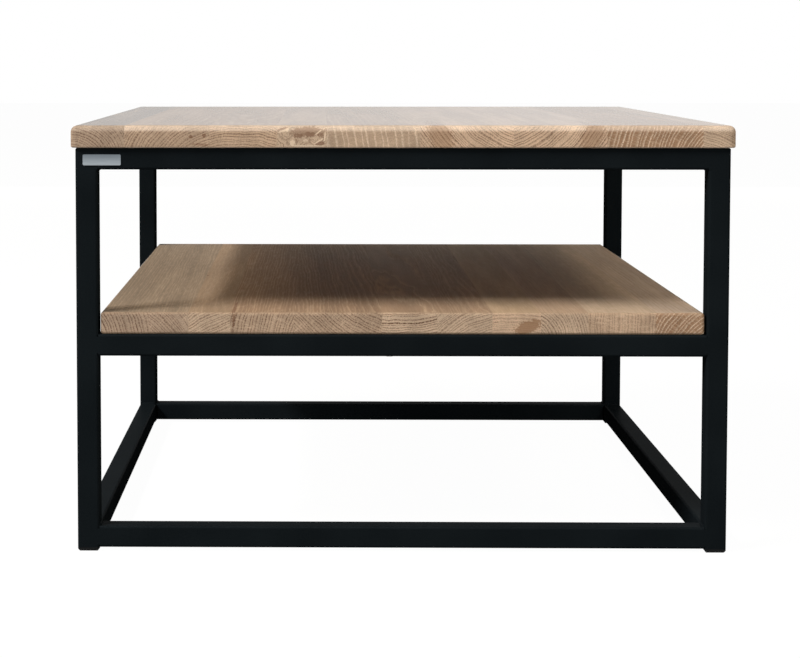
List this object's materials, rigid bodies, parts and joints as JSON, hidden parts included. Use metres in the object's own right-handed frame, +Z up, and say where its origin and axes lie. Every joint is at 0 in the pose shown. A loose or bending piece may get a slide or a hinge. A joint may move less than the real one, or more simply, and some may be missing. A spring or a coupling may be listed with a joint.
{
  "type": "two-tier coffee table",
  "caption": "Low square table: a welded frame of square steel tube with an edge-glued wooden top and a wooden shelf half way up.",
  "frame": {"origin": "on the floor, under the middle of the table top", "axes": "+Z up; the front, which shows end grain and carries the small plate, faces -Y; +X to the right when looking at the front"},
  "size_m": [0.6, 0.6, 0.39],
  "materials": {
    "steel_frame": "near-black powder coat, satin, very fine grain",
    "foot_plastic": "black moulded plastic, matt",
    "oak_top": "pale oak, thin matt lacquer, grain from front to rear, rings showing on the front and rear edges",
    "oak_shelf": "pale oak, thin matt lacquer, grain from front to rear, rings showing on the front and rear edges",
    "screws": "bright zinc plating",
    "badge_plate": "brushed sideways, unmarked"
  },
  "bodies": {
    "root": {"leg_front_left": "steel_frame", "leg_front_right": "steel_frame", "leg_rear_left": "steel_frame", "leg_rear_right": "steel_frame", "top_rail_front": "steel_frame", "top_rail_right": "steel_frame", "top_rail_rear": "steel_frame", "top_rail_left": "steel_frame", "mid_rail_front": "steel_frame", "mid_rail_rear": "steel_frame", "bottom_rail_front": "steel_frame", "bottom_rail_right": "steel_frame", "bottom_rail_rear": "steel_frame", "bottom_rail_left": "steel_frame", "foot_plug_front_left": "foot_plastic", "foot_plug_front_right": "foot_plastic", "foot_plug_rear_left": "foot_plastic", "foot_plug_rear_right": "foot_plastic", "top_stave_01": "oak_top", "top_stave_02": "oak_top", "top_stave_03": "oak_top", "top_stave_04": "oak_top", "top_stave_05": "oak_top", "top_stave_06": "oak_top", "top_stave_07": "oak_top", "top_stave_08": "oak_top", "top_stave_09": "oak_top", "top_stave_10": "oak_top", "shelf_stave_01": "oak_shelf", "shelf_stave_02": "oak_shelf", "shelf_stave_03": "oak_shelf", "shelf_stave_04": "oak_shelf", "shelf_stave_05": "oak_shelf", "shelf_stave_06": "oak_shelf", "shelf_stave_07": "oak_shelf", "shelf_stave_08": "oak_shelf", "shelf_stave_09": "oak_shelf", "shelf_stave_10": "oak_shelf", "shelf_stave_11": "oak_shelf", "top_screws": "screws", "shelf_screws": "screws"}
  },
  "joints": []
}
